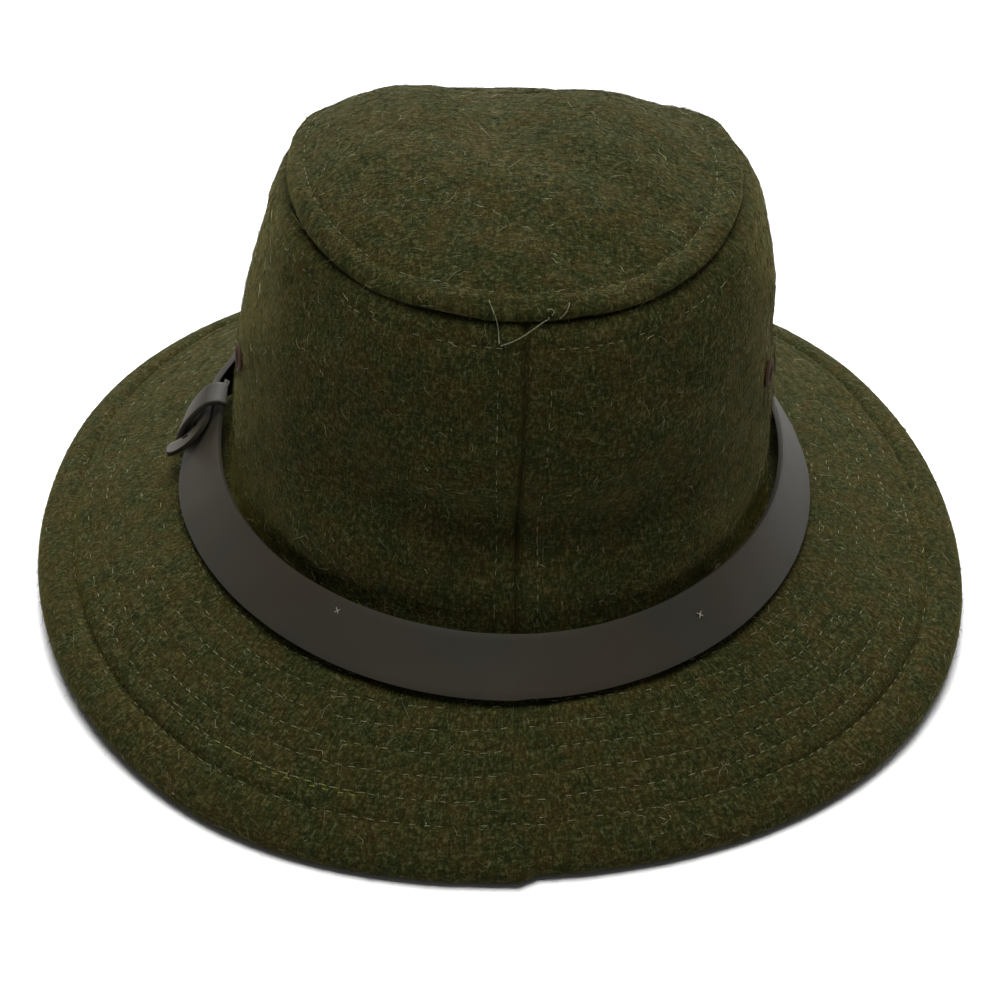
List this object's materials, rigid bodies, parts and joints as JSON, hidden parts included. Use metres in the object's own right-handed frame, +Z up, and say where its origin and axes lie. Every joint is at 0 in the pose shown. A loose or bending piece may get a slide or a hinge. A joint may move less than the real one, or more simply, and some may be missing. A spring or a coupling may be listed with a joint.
{
  "type": "packer hat",
  "caption": "Soft wool packer hat with a paneled domed crown, a stitched downturned brim and a leather strap band with a pointed tail.",
  "frame": {"origin": "on the floor under the middle of the hat's box, where the brim's rim rests", "axes": "+Z up, -Y towards the front that the picture shows, +X to that view's right"},
  "size_m": [0.2986, 0.3322, 0.1536],
  "materials": {
    "heathered_wool": "felted, dark olive heather",
    "charcoal_leather": "smooth matte",
    "wound_thread": "wound thread"
  },
  "bodies": {
    "root": {"crown_side_left": "heathered_wool", "crown_side_right": "heathered_wool", "crown_tip": "heathered_wool", "brim_upper_left": "heathered_wool", "brim_upper_right": "heathered_wool", "brim_under_left": "heathered_wool", "brim_under_right": "heathered_wool", "hat_band": "charcoal_leather", "band_keeper": "charcoal_leather", "vent_eyelet_left": "wound_thread", "vent_eyelet_right": "wound_thread"}
  },
  "joints": []
}
